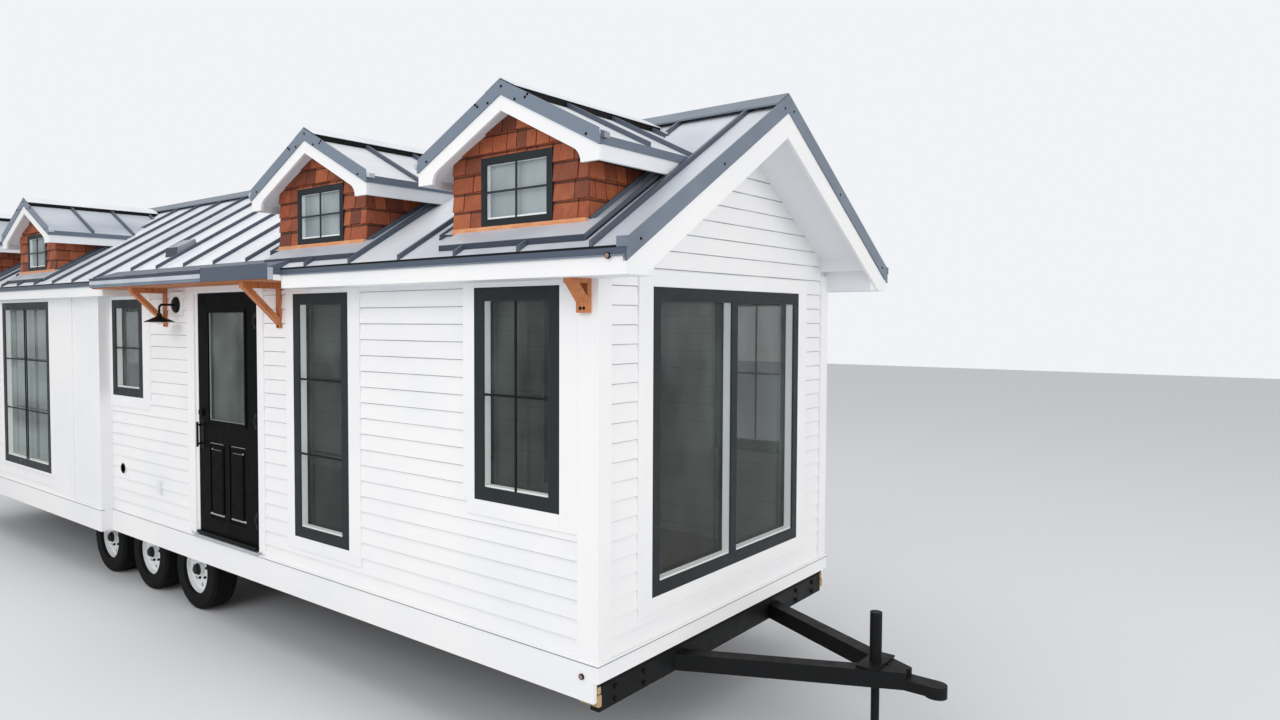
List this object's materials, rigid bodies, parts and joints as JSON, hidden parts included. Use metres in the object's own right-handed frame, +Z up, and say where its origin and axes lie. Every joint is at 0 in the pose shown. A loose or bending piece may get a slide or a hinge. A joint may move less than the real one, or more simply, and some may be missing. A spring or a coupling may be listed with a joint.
{
  "type": "tiny house on wheels",
  "caption": "White boarded gabled house body on a three-axle trailer, with a standing-seam metal roof, shingled gable dormers, black windows, a half-glazed door and a bracketed canopy.",
  "frame": {"origin": "on the ground, at the middle of the house body", "axes": "+X along the house towards the hitch, +Y from the entry side to the back, +Z up"},
  "size_m": [11.894, 3.576, 4.0009],
  "materials": {
    "white_paint": "white exterior paint on boards, satin",
    "chassis": "black chassis paint, semi-gloss",
    "timber": "raw sheathing and joists",
    "floor_wood": "red-brown floor boards, satin",
    "aluminium": "mill finish",
    "roof_sheet": "light grey coil-coated sheet",
    "roof_trim": "slate grey coil-coated trim",
    "cedar": "oiled cedar",
    "window_frame": "charcoal satin",
    "glass": "clear double glazing",
    "door_paint": "black satin door paint",
    "black_metal": "black powder coat",
    "lens": "amber lens",
    "tyre": "black rubber",
    "rim": "white wheel enamel"
  },
  "bodies": {
    "house": {"trailer_frame": "chassis", "hitch_tongue": "chassis", "tongue_jack": "chassis", "suspension": "chassis", "floor_deck": "timber", "floor_boards": "floor_wood", "near_front_wall": "white_paint", "door_header_wall": "white_paint", "entry_side_wall": "white_paint", "bedroom_front_wall": "white_paint", "back_wall": "white_paint", "near_end_wall": "white_paint", "far_end_wall": "white_paint", "skirt_boards": "white_paint", "corner_boards": "white_paint", "roof_deck": "white_paint", "front_roof_panels": "roof_sheet", "back_roof_panels": "roof_sheet", "ridge_cap": "roof_trim", "roof_fascia": "white_paint", "roof_edge_metal": "roof_trim", "dormer_walls": "cedar", "dormer_soffits": "white_paint", "dormer_roof_panels": "roof_sheet", "dormer_rake_boards": "white_paint", "dormer_edge_metal": "roof_trim", "dormer_window_frames": "window_frame", "dormer_window_glass": "glass", "front_window_frames": "window_frame", "front_window_glass": "glass", "end_window_frames": "window_frame", "end_window_glass": "glass", "back_window_frames": "window_frame", "back_window_glass": "glass", "door_jamb": "white_paint", "door_threshold": "aluminium", "canopy_roof": "roof_trim", "canopy_soffit": "cedar", "cedar_brackets": "cedar", "wall_lamp": "black_metal", "wall_fittings": "white_paint", "roof_vent": "roof_trim", "marker_lights": "lens"},
    "entry_door": {"door_slab": "door_paint", "door_glass": "glass", "door_handle": "black_metal", "door_hinges": "black_metal"},
    "front_near_wheel": {"front_near_tyre": "tyre", "front_near_rim": "rim"},
    "front_mid_wheel": {"front_mid_tyre": "tyre", "front_mid_rim": "rim"},
    "front_far_wheel": {"front_far_tyre": "tyre", "front_far_rim": "rim"},
    "back_near_wheel": {"back_near_tyre": "tyre", "back_near_rim": "rim"},
    "back_mid_wheel": {"back_mid_tyre": "tyre", "back_mid_rim": "rim"},
    "back_far_wheel": {"back_far_tyre": "tyre", "back_far_rim": "rim"}
  },
  "joints": [
    {"name": "entry_door_hinge", "type": "hinge", "parent": "house", "child": "entry_door", "pos_m": [1.7275, -1.464, 0], "axis": [0, 0, 1], "range_deg": [0, 100]},
    {"name": "front_near_wheel_spin", "type": "hinge", "parent": "house", "child": "front_near_wheel", "pos_m": [0.465, -1.2175, 0.355], "axis": [0, 1, 0], "continuous": true},
    {"name": "front_mid_wheel_spin", "type": "hinge", "parent": "house", "child": "front_mid_wheel", "pos_m": [-0.425, -1.2175, 0.355], "axis": [0, 1, 0], "continuous": true},
    {"name": "front_far_wheel_spin", "type": "hinge", "parent": "house", "child": "front_far_wheel", "pos_m": [-1.315, -1.2175, 0.355], "axis": [0, 1, 0], "continuous": true},
    {"name": "back_near_wheel_spin", "type": "hinge", "parent": "house", "child": "back_near_wheel", "pos_m": [0.465, 1.2175, 0.355], "axis": [0, 1, 0], "continuous": true},
    {"name": "back_mid_wheel_spin", "type": "hinge", "parent": "house", "child": "back_mid_wheel", "pos_m": [-0.425, 1.2175, 0.355], "axis": [0, 1, 0], "continuous": true},
    {"name": "back_far_wheel_spin", "type": "hinge", "parent": "house", "child": "back_far_wheel", "pos_m": [-1.315, 1.2175, 0.355], "axis": [0, 1, 0], "continuous": true}
  ]
}
